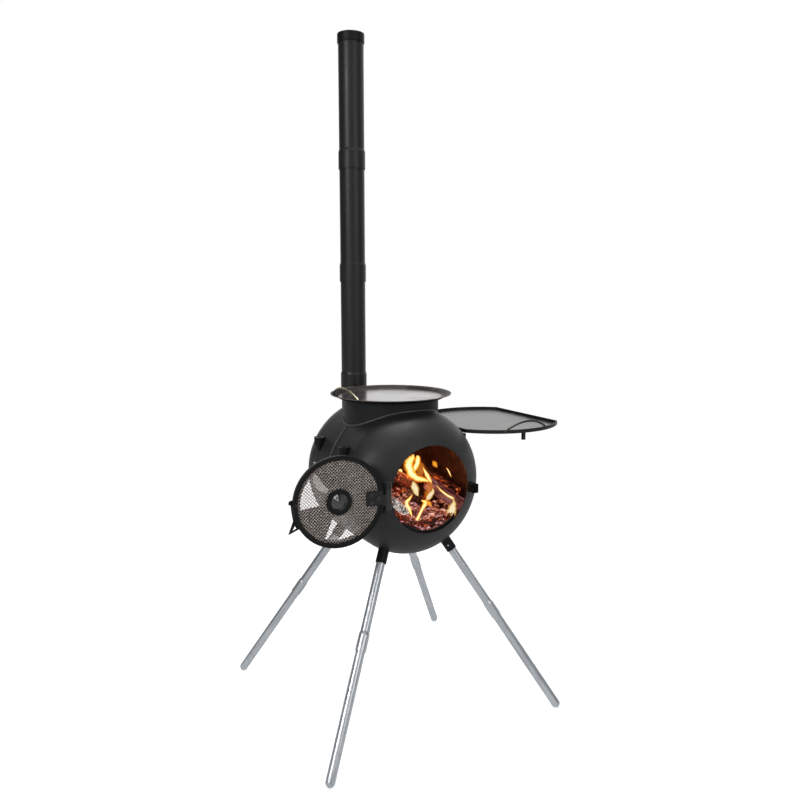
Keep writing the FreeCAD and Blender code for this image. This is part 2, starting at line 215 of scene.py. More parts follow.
def zinc(name, axis):
    """Bright zinc-plated tube: drawn grain along the tube, faint cloudy passivation, dulled spots."""
    M = Mat(name)
    rot = Vector(axis).rotation_difference(Vector((0, 0, 1))).to_euler()
    v = M.mapped(rot=tuple(rot))
    streak = M.noise(420.0, M.mapped(v, scale=(1, 1, 0.016)), 5, 0.65)
    cloud = M.noise(34.0, M.mapped(v, scale=(1, 1, 0.4)), 6, 0.62, 0.5)
    spang = M.voronoi(210.0, M.mapped(v, scale=(1, 1, 0.55)))
    spots = M.rng(M.noise(240.0, v, 6, 0.72), 0.64, 0.72, 0.0, 1.0)
    tone = M.math("ADD", M.math("MULTIPLY", streak, 0.5), M.math("MULTIPLY", cloud, 0.5))
    col = M.ramp(tone, [(0.33, lin(182, 188, 195)), (0.5, lin(222, 227, 232)), (0.68, lin(246, 248, 250))])
    col = M.mix(M.rng(spang, 0.0, 0.8, 0.0, 0.18), col, lin(186, 194, 204))
    col = M.mix(M.math("MULTIPLY", spots, 0.45), col, lin(120, 122, 124))
    r = M.math("ADD", M.rng(tone, 0.35, 0.65, 0.20, 0.36), M.math("MULTIPLY", spots, 0.18))
    h = M.math("ADD", M.math("MULTIPLY", streak, 1.0), M.math("MULTIPLY", cloud, 1.5))
    return M.shade(col, r, 0.84, M.bump(h, 0.00005, 0.8), Anisotropic=0.35)


def hot_steel():
    """Cooking pan: polished floor with a warm heat tint, seasoned dark on the sloped rim."""
    M = Mat("stainless_hot_plate")
    x, y, z = M.xyz()[0:3]
    rr = M.math("SQRT", M.math("ADD", M.math("MULTIPLY", x, x), M.math("MULTIPLY", y, y)))
    cloud = M.noise(16.0, None, 6, 0.62, 0.7)
    fine = M.noise(900.0, M.mapped(rot=(0, 0, 0.5), scale=(1, 0.03, 1)), 4, 0.6)
    edge = M.math("ADD", rr, M.math("MULTIPLY", M.math("SUBTRACT", cloud, 0.5), 0.012))
    col = M.ramp(M.rng(edge, 0.0, 0.14, 0.0, 1.0), [(0.0, lin(162, 159, 160)), (0.60, lin(160, 155, 155)),
                                                     (0.80, lin(152, 143, 140)), (0.835, lin(84, 76, 70)),
                                                     (0.860, lin(26, 24, 22)), (0.965, lin(30, 28, 26)), (0.988, lin(140, 132, 122))])
    col = M.mix(M.rng(cloud, 0.46, 0.80, 0.0, 0.22), col, lin(140, 126, 122))
    under = M.rng(z, 0.7088, 0.7092, 0.0, 1.0)
    inner = M.rng(rr, 0.119, 0.121, 0.0, 1.0)
    keep = M.math("MAXIMUM", under, inner)
    col = M.mix(keep, lin(40, 36, 33), col)
    r = M.math("ADD", M.rng(cloud, 0.35, 0.7, 0.13, 0.26), M.rng(edge, 0.112, 0.124, 0.0, 0.30))
    met = M.math("SUBTRACT", M.rng(edge, 0.112, 0.121, 0.95, 0.25), M.rng(rr, 0.1370, 0.1378, 0.0, -0.6))
    return M.shade(col, r, met, M.bump(M.math("ADD", fine, M.math("MULTIPLY", cloud, 3.0)), 0.00003, 0.7), Specular_IOR_Level=0.15)


def brushed_plate():
    """Warming plate: grey brushed steel floor, black lip."""
    M = Mat("plate_steel_warming")
    x, y, z = M.xyz()[0:3]
    brush = M.noise(700.0, M.mapped(rot=(0, 0, 0.12), scale=(0.012, 1, 1)), 5, 0.65)
    cloud = M.noise(14.0, M.mapped(scale=(0.5, 1.2, 1)), 6, 0.62, 0.4)
    tone = M.math("ADD", M.math("MULTIPLY", brush, 0.55), M.math("MULTIPLY", cloud, 0.45))
    col = M.ramp(tone, [(0.34, lin(82, 78, 78)), (0.5, lin(110, 108, 109)), (0.66, lin(138, 137, 139))])
    # heat and oil stain towards the stove
    stain = M.math("MULTIPLY", M.rng(x, 0.136, 0.215, 1.0, 0.0), M.rng(M.noise(22.0, None, 6, 0.6, 0.6), 0.35, 0.7, 0.2, 1.0))
    col = M.mix(M.math("MULTIPLY", stain, 0.5), col, lin(84, 77, 74))
    # the folded lip is black
    dx = M.math("SUBTRACT", x, 0.272)
    rr = M.math("SQRT", M.math("ADD", M.math("MULTIPLY", dx, dx), M.math("MULTIPLY", y, y)))
    lip = M.math("MAXIMUM", M.rng(rr, 0.1675, 0.1682, 0.0, 1.0),
                 M.math("MAXIMUM", M.rng(x, 0.3896, 0.3902, 0.0, 1.0), M.rng(x, 0.1378, 0.1384, 1.0, 0.0)))
    low = M.rng(z, 0.6283, 0.6287, 1.0, 0.0)
    black = M.math("MAXIMUM", lip, low)
    worn = M.rng(M.noise(120.0, None, 6, 0.7), 0.60, 0.72, 0.0, 0.5)
    top_edge = M.rng(z, 0.6356, 0.6359, 0.0, 1.0)
    dark = M.mix(M.math("MULTIPLY", M.math("MAXIMUM", worn, 0.15), top_edge), lin(38, 37, 37), lin(120, 116, 110))
    col = M.mix(black, col, dark)
    r = M.mixf(black, M.rng(tone, 0.35, 0.65, 0.24, 0.38), 0.42)
    met = M.mixf(black, 0.92, 0.35)
    h = M.math("ADD", brush, M.math("MULTIPLY", cloud, 2.0))
    return M.shade(col, r, met, M.bump(h, 0.00004, 0.8))


def wire_steel(name, a, b, rough=(0.22, 0.38), dull=0.35):
    M = Mat(name)
    n1 = M.noise(90.0, None, 5, 0.6, 0.4)
    n2 = M.noise(650.0, None, 3, 0.6)
    col = M.ramp(M.math("ADD", M.math("MULTIPLY", n1, 0.65), M.math("MULTIPLY", n2, 0.35)), [(0.36, a), (0.64, b)])
    spots = M.rng(M.noise(260.0, None, 6, 0.7), 0.60, 0.70, 0.0, dull)
    col = M.mix(spots, col, tuple(c * 0.35 for c in a))
    return M.shade(col, M.rng(n1, 0.35, 0.65, rough[0], rough[1]), 1.0, M.bump(n2, 0.00003, 0.7))


def scale_steel(name, a, b, rust, metallic=0.55, rough=(0.42, 0.62)):
    """Bare plate behind the gauze: grey-brown heat scale."""
    M = Mat(name)
    n1 = M.noise(38.0, None, 7, 0.65, 0.8)
    n2 = M.noise(420.0, None, 3, 0.6)
    col = M.ramp(n1, [(0.32, a), (0.68, b)])
    col = M.mix(M.rng(M.noise(21.0, None, 6, 0.7, 0.5), 0.48, 0.72, 0.0, 0.6), col, rust)
    return M.shade(col, M.rng(n1, 0.3, 0.7, rough[0], rough[1]), metallic, M.bump(M.math("ADD", n1, n2), 0.00006, 0.8))


def hinge_leaf_paint():
    """Black leaf, with its barrel rubbed to a satin grey."""
    M = Mat("black_steel_leaf")
    x, y, z = M.xyz()[0:3]
    dx, dy = M.math("ADD", x, 0.1047), M.math("ADD", y, 0.1774)
    d = M.math("SQRT", M.math("ADD", M.math("MULTIPLY", dx, dx), M.math("MULTIPLY", dy, dy)))
    barrel = M.rng(d, 0.0068, 0.0074, 1.0, 0.0)
    n1 = M.noise(60.0, None, 5, 0.6)
    n2 = M.noise(1000.0, None, 2, 0.5)
    black = M.ramp(n1, [(0.35, (0.0050, 0.0050, 0.0054)), (0.65, (0.0110, 0.0110, 0.0115))])
    grey = M.ramp(n1, [(0.35, (0.026, 0.026, 0.028)), (0.65, (0.044, 0.044, 0.046))])
    return M.shade(M.mix(barrel, black, grey), M.rng(n1, 0.3, 0.7, 0.40, 0.55), 0.0, M.bump(n2, 0.00005, 0.8))


def plastic():
    M = Mat("foot_plastic")
    n1 = M.noise(60.0, None, 4, 0.6)
    n2 = M.noise(1400.0, None, 2, 0.5)
    col = M.ramp(n1, [(0.35, lin(34, 34, 36)), (0.65, lin(50, 50, 53))])
    return M.shade(col, M.rng(n1, 0.35, 0.65, 0.45, 0.62), 0.0, M.bump(n2, 0.00006, 0.8))


def assign(o, m):
    o.data.materials.clear()
    o.data.materials.append(m)


m_fire = firebox_paint()
m_stove = paint("stove_paint", (0.0155, 0.0157, 0.0170), (0.0230, 0.0233, 0.0250), chip=lin(120, 118, 114))
m_black = paint("black_steel", (0.0040, 0.0040, 0.0043), (0.0085, 0.0085, 0.0090), (0.40, 0.54), chip=lin(110, 106, 100), spec=0.26)
m_lid = paint("black_steel_ring", (0.0045, 0.0045, 0.0047), (0.0100, 0.0098, 0.0100), (0.42, 0.58), 800.0, 0.00007, lin(96, 92, 86), spec=0.28)
m_flue = paint("flue_paint", (0.0105, 0.0106, 0.0118), (0.0185, 0.0186, 0.0202), (0.34, 0.47), 1000.0, 0.00004,
               lin(96, 96, 97), (1.6, 1.6, 0.12), 0.45)
# painted shade: the neck's stove paint is made darker to stand in for the shade under the hot plate
m_neck_painted_shade = paint("stove_paint_neck_painted_shade", (0.0085, 0.0086, 0.0094), (0.0132, 0.0134, 0.0144), chip=lin(120, 118, 114), spec=0.32)
m_keep = paint("black_steel_keeper", (0.0030, 0.0030, 0.0032), (0.0065, 0.0065, 0.0068), (0.78, 0.92), spec=0.08)
m_hot = hot_steel()
m_warm = brushed_plate()
m_wire = wire_steel("stainless_wire", lin(140, 130, 104), lin(206, 196, 166), (0.20, 0.34))
m_gauze = wire_steel("stainless_gauze", lin(172, 159, 151), lin(234, 225, 218), (0.30, 0.48), 0.35)
m_vent = scale_steel("plate_steel_vent", lin(58, 51, 47), lin(86, 77, 71), lin(76, 56, 46), 0.3)
# painted highlight: the blank plate is made near-white so it reads bright through the vent windows although it sits in
# shade
m_label_painted_highlight = paint("bright_plate_blank_painted_highlight", lin(232, 220, 215), lin(246, 238, 234), (0.42, 0.6), 1100.0, 0.00003, lin(170, 160, 155))
# painted highlight: the weld beads get the stove paint about three times lighter, standing in for the highlight along
# the seams
m_bead_painted_highlight = paint("stove_paint_weld_painted_highlight", (0.040, 0.040, 0.043), (0.085, 0.085, 0.089), (0.30, 0.44), 900.0, 0.00008, lin(150, 148, 146), None, 0.6)
m_wire_dark = wire_steel("black_steel_wire", lin(46, 42, 38), lin(96, 90, 82), (0.26, 0.42))
m_bolt = wire_steel("bright_plate", lin(120, 120, 122), lin(196, 196, 198), (0.26, 0.42))
m_bolt_dark = wire_steel("black_steel_bolt", lin(44, 44, 46), lin(78, 78, 80), (0.30, 0.46))
m_bolt_worn = wire_steel("black_steel_bolt_worn", lin(66, 65, 65), lin(98, 96, 94), (0.34, 0.5))
m_foot = plastic()
m_leaf = hinge_leaf_paint()

LEGS = {"front_left": (-1, -1), "front_right": (1, -1), "rear_left": (-1, 1), "rear_right": (1, 1)}
MATS = {"body_front_shell": m_fire, "body_rear_shell": m_fire, "girth_weld": m_stove, "neck_collar": m_neck_painted_shade,
        "neck_weld": m_stove, "flue_spigot": m_stove, "flue_spigot_base": m_stove, "spigot_bolt": m_bolt,
        "door_stop_lip": m_black, "door_keeper": m_keep, "hinge_bracket": m_stove, "hinge_pin": m_stove,
        "blank_plate": m_label_painted_highlight, "blank_plate_rivets": m_bolt_dark, "left_plate_bosses": m_black,
        "right_plate_bosses": m_black, "hot_plate_pan": m_hot, "hot_plate_handle": m_wire, "hot_plate_lugs": m_black,
        "warming_plate_pan": m_warm, "warming_plate_handle": m_wire_dark, "warming_plate_pegs": m_bolt_dark,
        "flue_lower": m_flue, "flue_middle": m_flue, "flue_upper": m_flue, "flue_top_band": m_black,
        "door_ring": m_lid, "door_mesh": m_gauze, "door_vent_plate": m_vent, "door_clamp_ring": m_lid,
        "door_hub": m_black, "door_hub_ring": m_black, "door_hinge_leaf": m_leaf, "door_hinge_pad": m_black,
        "door_hinge_bolts": m_bolt_worn, "damper_disc": m_vent, "damper_tab": m_black, "latch_lever": m_black,
        "latch_rivet": m_bolt_dark}
for nm, (sx, sy) in LEGS.items():
    foot = Vector((sx * 0.283, -0.006 + sy * 0.260, 0.010))
    top = Vector((sx * 0.077, -0.006 + sy * 0.101, 0.3935))
    mz = zinc("zinc_tube_" + nm, (top - foot).normalized())
    MATS["leg_upper_" + nm] = mz
    MATS["leg_lower_" + nm] = mz
    MATS["leg_socket_" + nm] = m_black
    MATS["foot_plug_" + nm] = m_foot
for n, o in nodes.items():
    assign(o, MATS.get(n, m_black))


# ================================================================ mesh helpers
def add_mesh(name, verts, faces, body, mat, smooth=True, attrs=None):
    me = bpy.data.meshes.new(name)
    me.from_pydata([tuple(v) for v in verts], [], faces)
    me.validate()
    if smooth:
        me.polygons.foreach_set("use_smooth", [True] * len(me.polygons))
    for k, vals in (attrs or {}).items():
        a = me.attributes.new(k, "FLOAT", "POINT")
        a.data.foreach_set("value", [float(v) for v in vals])
    o = bpy.data.objects.new(name, me)
    scene.collection.objects.link(o)
    o.data.materials.append(mat)
    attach(o, body)
    return o


def smooth_path(pts, per=6):
    """Catmull-Rom through points of any size, per samples to a span."""
    P = [np.array(p, float) for p in pts]
    P = [2 * P[0] - P[1]] + P + [2 * P[-1] - P[-2]]
    out = []
    for i in range(1, len(P) - 2):
        for k in range(per):
            t = k / per
            a, b, c, d = P[i - 1], P[i], P[i + 1], P[i + 2]
            out.append(0.5 * (2 * b + (c - a) * t + (2 * a - 5 * b + 4 * c - d) * t * t + (3 * b - a - 3 * c + d) * t ** 3))
    out.append(P[-2])
    return np.array(out)


def tube_rows(path, radii, seg, depth=1.0, wobble=0.0, seed=0.0, closed=False):
    """Rings of points around a path. Depth under 1 flattens the tube along y."""
    n = len(path)
    verts = []
    prev = None
    for i in range(n):
        a = path[(i - 1) % n] if closed or i > 0 else path[0]
        b = path[(i + 1) % n] if closed or i < n - 1 else path[-1]
        t = Vector(b - a).normalized()
        if prev is None:
            side = t.cross(Vector((0, 1, 0)))
            if side.length < 0.2:
                side = t.cross(Vector((0, 0, 1)))
            side.normalize()
        else:
            side = (prev - t * prev.dot(t)).normalized()
        prev = side
        up = side.cross(t).normalized()
        for k in range(seg):
            an = 2 * math.pi * k / seg
            q = side * math.cos(an) + up * (math.sin(an) * depth)
            r = radii[i]
            if wobble:
                r *= 1 + wobble * noise.noise(Vector((q.x * 1.3 + seed, i * 0.35 + q.y, q.z * 1.3 - seed)))
            verts.append(Vector(path[i]) + q * r)
    return verts


def tube_faces(n, seg, base=0, closed=False, caps=True):
    f = []
    for i in range(n if closed else n - 1):
        j = (i + 1) % n
        for k in range(seg):
            l = (k + 1) % seg
            f.append((base + i * seg + k, base + i * seg + l, base + j * seg + l, base + j * seg + k))
    if caps and not closed:
        f.append(tuple(base + k for k in reversed(range(seg))))
        f.append(tuple(base + (n - 1) * seg + k for k in range(seg)))
    return f


# ================================================================ weld beads
def drum_z(x, y, off=0.0):
    ax = max(abs(y) - 0.087, 0.0) / (0.107 + off)
    r = (0.1625 + off) * math.sqrt(max(0.0, 1 - ax * ax))
    return 0.53 + math.sqrt(max(0.0, r * r - x * x))


def bead(name, node, line, r, pitch, closed, seed):
    """Ripple weld along a line: overlapping puddles, a little uneven, in lightened paint that is a painted highlight
    along the seam.
    """
    pts = np.array(line)
    d = np.linalg.norm(np.diff(np.vstack([pts, pts[:1]]) if closed else pts, axis=0), axis=1)
    s = np.concatenate([[0], np.cumsum(d)])
    total = s[-1]
    src = np.vstack([pts, pts[:1]]) if closed else pts
    m = int(total / (pitch / 5.0))
    u = np.linspace(0, total, m, endpoint=not closed)
    path = np.stack([np.interp(u, s, src[:, k]) for k in range(3)], axis=1)
    radii = []
    for i, t in enumerate(u):
        ph = (t / pitch) % 1.0
        radii.append(r * (0.86 + 0.20 * math.sqrt(1 - (1 - ph) ** 2) + 0.10 * noise.noise(Vector((t * 90, seed, 0)))))
    seg = 10
    v = tube_rows(path, radii, seg, closed=closed)
    f = tube_faces(len(path), seg, closed=closed)
    o = add_mesh(name, v, f, "firebox", m_bead_painted_highlight)
    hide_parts(node)
    return o


line = []
for k in range(360):
    a = rad(k)
    x, y = 0.1086 * math.cos(a), 0.1086 * math.sin(a)
    line.append((x, y, drum_z(x, y) + 0.0004))
bead("neck_weld_bead", "neck_weld", line, 0.0027, 0.0034, True, 3.0)
line = []
a0 = math.asin(0.1122 / 0.1625)
for k in range(361):
    a = a0 + (2 * math.pi - 2 * a0) * k / 360.0
    line.append((0.1618 * math.sin(a), 0.0, 0.53 + 0.1618 * math.cos(a)))
bead("girth_weld_bead", "girth_weld", line, 0.0024, 0.0036, False, 7.0)


# ================================================================ woven gauze of the door
HX, HY, TH = -0.1047, -0.1774, rad(-187.4)


def door(x, y, z):
    """Closed-door point (metres, z from the door's centre) to its open rest place."""
    dx, dy = x - HX, y - HY
    return (HX + dx * math.cos(TH) - dy * math.sin(TH), HY + dx * math.sin(TH) + dy * math.cos(TH), 0.53 + z)


def gauze():
    pitch, wr, amp = 0.0048, 0.00070, 0.00044
    r0, r1, depth = 0.0202, 0.0909, HY - 0.00335
    verts, faces = [], []
    seg = 6
    n = int(r1 / pitch) + 1
    for fam in (0, 1):
        u = (math.cos(rad(45 + 90 * fam)), math.sin(rad(45 + 90 * fam)))
        w = (-u[1], u[0])
        for i in range(-n, n + 1):
            off = i * pitch
            if abs(off) >= r1:
                continue
            L = math.sqrt(r1 * r1 - off * off)
            if abs(off) < r0:
                g = math.sqrt(r0 * r0 - off * off)
                spans = [(-L, -g), (g, L)]
            else:
                spans = [(-L, L)]
            for a, b in spans:
                m = max(3, int((b - a) / (pitch / 4)) + 1)
                base = len(verts)
                for k in range(m):
                    s = a + (b - a) * k / (m - 1)
                    h = amp * math.cos(math.pi * (s / pitch + i)) * (1 if fam == 0 else -1)
                    cx, cz = u[0] * s + w[0] * off, u[1] * s + w[1] * off
                    for q in range(seg):
                        an = 2 * math.pi * q / seg
                        e = wr * math.cos(an)
                        verts.append(door(cx + w[0] * e, depth + h + wr * math.sin(an), cz + w[1] * e))
                faces += tube_faces(m, seg, base)
    o = add_mesh("door_gauze", verts, faces, "door", m_gauze)
    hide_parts("door_mesh")


gauze()


# ================================================================ fire
def char_mat(name, block, block2, ash, ash_amt, glow, strength, pal=None):
    """Burning wood: charred blocks, ash bloom, glow in the checks between them."""
    M = Mat(name)
    crack = M.attr("glow")
    n1 = M.noise(120.0, None, 6, 0.65, 0.6)
    n2 = M.noise(420.0, None, 4, 0.6)
    col = M.ramp(n1, [(0.35, block), (0.65, block2)])
    col = M.mix(M.math("MULTIPLY", M.rng(M.noise(75.0, None, 8, 0.7, 0.8), 0.42, 0.62, 0.0, 1.0), ash_amt), col, ash)
    hot = M.math("MULTIPLY", crack, M.rng(M.noise(38.0, None, 4, 0.6), 0.36, 0.66, 0.15, 1.0))
    em = M.ramp(hot, pal or [(0.10, (0.0, 0.0, 0.0)), (0.35, (0.25, 0.015, 0.004)), (0.62, (1.0, 0.16, 0.02)),
                             (0.90, (1.0, 0.55, 0.18))])
    em = M.mix(1.0, em, M.ramp(n2, [(0.3, (0.55, 0.5, 0.5)), (0.7, (1.0, 1.0, 1.0))]), "MULTIPLY")
    base = M.n("ShaderNodeBsdfPrincipled", {"Base Color": col, "Roughness": M.rng(n1, 0.3, 0.7, 0.75, 0.95),
                                            "Emission Color": em, "Emission Strength": strength,
                                            "Normal": M.bump(M.math("ADD", n1, n2), 0.0006, 0.8)})
    M.t.links.new(base.outputs[0], M.out.inputs[0])
    return M.m


def log(name, a, b, r, seed, mat, cells=(2.2, 5.0), deep=0.16, taper=0.9, seg=40, rows=60):
    """Split, charred log with checked surface; the checks carry the glow."""
    a, b = Vector(a), Vector(b)
    ax = (b - a).normalized()
    s = ax.cross(Vector((0, 1, 0))).normalized()
    u = s.cross(ax).normalized()
    verts, glow = [], []
    L = (b - a).length
    for i in range(rows + 1):
        t = i / rows
        for k in range(seg):
            an = 2 * math.pi * k / seg
            c, sn = math.cos(an), math.sin(an)
            # rough split section
            base = 1.0 + 0.14 * math.cos(2 * an + seed) + 0.08 * math.cos(3 * an + 2 * seed)
            p = Vector((c * cells[0], sn * cells[0], t * L / r * cells[1] * 0.2 + seed))
            d, _ = noise.voronoi(p + Vector((noise.noise(p * 0.8), noise.noise(p * 0.8 + Vector((5, 0, 0))), 0)) * 0.5)
            g = max(0.0, 1.0 - (d[1] - d[0]) / 0.20)
            rr = r * base * (1 - deep * g + 0.10 * noise.noise(Vector((c * 1.2, sn * 1.2, t * L / r * 0.8 + seed))))
            rr *= 1 - (1 - taper) * t
            end = min(t, 1 - t) * rows
            if end < 2:
                rr *= (0.80, 0.95, 1.0)[int(end)]
            q = a + ax * (t * L + (0.06 * r * noise.noise(Vector((c * 2, sn * 2, seed))) if end < 1 else 0))
            q = q + s * (c * rr) + u * (sn * rr)
            verts.append(q)
            glow.append(g)
    faces = tube_faces(rows + 1, seg, caps=False)
    for row, t, rev in ((0, 0.0, True), (rows, 1.0, False)):
        idx = len(verts)
        ring = [row * seg + k for k in range(seg)]
        inner = []
        for k in range(seg):
            v = verts[ring[k]]
            ctr = a if rev else b
            verts.append(ctr + (v - ctr) * 0.5 + ax * (0.05 * r * (1 if rev else -1)))
            glow.append(0.5)
            inner.append(idx + k)
        verts.append((a if rev else b) + ax * (0.12 * r * (1 if rev else -1)))
        glow.append(0.8)
        cidx = len(verts) - 1
        for k in range(seg):
            l = (k + 1) % seg
            q = (ring[k], ring[l], inner[l], inner[k])
            tr = (inner[k], inner[l], cidx)
            faces.append(tuple(reversed(q)) if rev else q)
            faces.append(tuple(reversed(tr)) if rev else tr)
    return add_mesh(name, verts, faces, "firebox", mat, attrs={"glow": glow})


m_char = char_mat("char_log", (0.010, 0.007, 0.006), (0.030, 0.016, 0.012), (0.16, 0.12, 0.11), 0.30, None, 0.9)
m_red = char_mat("red_log", (0.05, 0.012, 0.006), (0.13, 0.032, 0.014), (0.22, 0.10, 0.07), 0.3, None, 1.0)
def grain_mat(name, axis):
    """Wood burnt through to rosy ash, split along its grain."""
    M = Mat(name)
    rot = Vector(axis).rotation_difference(Vector((0, 0, 1))).to_euler()
    v = M.mapped(rot=tuple(rot))
    grain = M.noise(150.0, M.mapped(v, scale=(1, 1, 0.10)), 6, 0.7, 0.5)
    cloud = M.noise(60.0, v, 5, 0.6)
    crack = M.attr("glow")
    t = M.math("SUBTRACT", M.math("ADD", M.math("MULTIPLY", grain, 0.7), M.math("MULTIPLY", cloud, 0.3)), M.math("MULTIPLY", crack, 0.10))
    em = M.ramp(t, [(0.36, (0.010, 0.002, 0.002)), (0.43, (0.11, 0.016, 0.014)), (0.50, (0.19, 0.060, 0.062)), (0.58, (0.28, 0.125, 0.130)),
                    (0.70, (0.50, 0.30, 0.31))])
    base = M.n("ShaderNodeBsdfPrincipled", {"Base Color": M.ramp(t, [(0.38, (0.03, 0.01, 0.01)), (0.65, (0.22, 0.12, 0.12))]), "Roughness": M.rng(grain, 0.3, 0.7, 0.75, 0.95),
                                            "Emission Color": em, "Emission Strength": 0.68,
                                            "Normal": M.bump(grain, 0.0015, 0.9)})
    M.t.links.new(base.outputs[0], M.out.inputs[0])
    return M.m


def ash_mat(name, axis, pal, pieces=70.0, strength=0.8):
    """Pale ash over dark cracks."""
    M = Mat(name)
    rot = Vector(axis).rotation_difference(Vector((0, 0, 1))).to_euler()
    v = M.mapped(rot=tuple(rot))
    n1 = M.noise(pieces, M.mapped(v, scale=(0.45, 0.45, 1.3)), 6, 0.66, 0.7)
    n2 = M.noise(pieces * 3.2, None, 6, 0.7, 0.4)
    crack = M.attr("glow")
    t = M.math("SUBTRACT", M.math("ADD", M.math("MULTIPLY", n1, 0.5), M.math("MULTIPLY", n2, 0.5)), M.math("MULTIPLY", crack, 0.16))
    em = M.ramp(t, pal)
    base = M.n("ShaderNodeBsdfPrincipled", {"Base Color": M.ramp(t, [(0.40, (0.03, 0.02, 0.02)), (0.62, (0.32, 0.28, 0.28))]), "Roughness": M.rng(n2, 0.3, 0.7, 0.8, 0.96),
                                            "Emission Color": em, "Emission Strength": strength,
                                            "Normal": M.bump(M.math("ADD", n1, n2), 0.0012, 0.9)})
    M.t.links.new(base.outputs[0], M.out.inputs[0])
    return M.m


m_mauve = grain_mat("mauve_log", (0.0831, -0.032, -0.0627))
m_ash = ash_mat("ash_log", (0.061, 0.030, -0.042), [(0.36, (0.004, 0.003, 0.003)), (0.41, (0.04, 0.02, 0.018)), (0.455, (0.34, 0.29, 0.26)), (0.54, (0.88, 0.83, 0.79))])

log("log_mauve", (0.0532, -0.072, 0.5167), (0.1363, -0.104, 0.4540), 0.0155, 1.3, m_mauve, (1.6, 1.6), 0.10)
log("log_dark_back", (0.0700, -0.020, 0.5300), (0.1330, -0.085, 0.4860), 0.0140, 4.1, m_char, (2.0, 4.0))
log("log_red_left", (-0.0466, -0.070, 0.5480), (0.0439, -0.030, 0.5050), 0.0165, 2.4, m_red, (2.2, 6.0), 0.2)
log("log_ash_left", (-0.0740, -0.126, 0.5060), (-0.0130, -0.096, 0.4640), 0.0100, 5.2, m_ash, (1.6, 6.5), 0.2, 0.8)
log("log_front", (-0.0450, -0.138, 0.4405), (0.0900, -0.122, 0.4400), 0.0095, 6.6, m_char, (2.0, 5.0), 0.2)
log("log_low_left", (-0.0700, -0.104, 0.4760), (-0.0059, -0.120, 0.4330), 0.0110, 8.8, m_red, (2.0, 5.0), 0.2)
log("log_cross", (-0.0157, -0.060, 0.5050), (0.0948, -0.010, 0.4480), 0.0150, 9.5, m_char, (2.1, 5.0), 0.2)
log("log_bed_right", (0.0155, -0.085, 0.4560), (0.0859, -0.105, 0.4300), 0.0110, 3.7, m_mauve, (1.8, 3.0), 0.14)


def ember_bed():
    """Bed of coals in the bottom of the drum, a rough closed mound."""
    nx, ny = 90, 100
    verts, glow, faces = [], [], []
    for j in range(ny + 1):
        y = -0.166 + 0.300 * j / ny
        ax = max(abs(y) - 0.087, 0) / 0.104
        rr = 0.1585 * math.sqrt(max(0.02, 1 - ax * ax))
        for i in range(nx + 1):
            w = -1 + 2 * i / nx
            zt = 0.428 + 0.016 * (1 - w * w) + 0.012 * noise.noise(Vector((w * 2.2, y * 14, 0.4)))
            zt += -0.014 * max(0.0, (-y - 0.12) / 0.046)
            half = math.sqrt(max(1e-5, rr * rr - (0.53 - zt) ** 2)) if rr > 0.53 - zt else 0.004
            x = w * half * 0.97
            p = Vector((x * 95, y * 95, 1.7))
            d, _ = noise.voronoi(p + Vector((noise.noise(p * 0.7), noise.noise(p * 0.7 + Vector((9, 0, 0))), 0)) * 0.6)
            g = max(0.0, 1.0 - (d[1] - d[0]) / 0.28)
            zt += 0.0050 * (1 - g) + 0.0022 * noise.noise(Vector((x * 260, y * 260, 0.2)))
            verts.append((x, y, zt))
            glow.append(g)
    for j in range(ny):
        for i in range(nx):
            a = j * (nx + 1) + i
            faces.append((a, a + 1, a + nx + 2, a + nx + 1))
    return add_mesh("ember_bed", verts, faces, "firebox", m_bed, attrs={"glow": glow})


m_bed = ash_mat("ember_bed", (0, 0, 1), [(0.385, (0.003, 0.001, 0.001)), (0.435, (0.08, 0.008, 0.005)), (0.470, (0.30, 0.045, 0.025)), (0.500, (0.34, 0.125, 0.135)),
                                         (0.545, (0.52, 0.32, 0.35)), (0.61, (0.95, 0.82, 0.84))], 60.0, 0.92)
ember_bed()
m_coal = ash_mat("coal_pieces", (0, 0, 1), [(0.38, (0.004, 0.001, 0.001)), (0.43, (0.10, 0.010, 0.004)), (0.47, (0.62, 0.12, 0.03)), (0.505, (0.50, 0.22, 0.18)),
                                            (0.555, (0.76, 0.52, 0.52)), (0.62, (1.0, 0.92, 0.90))], 130.0, 0.95)


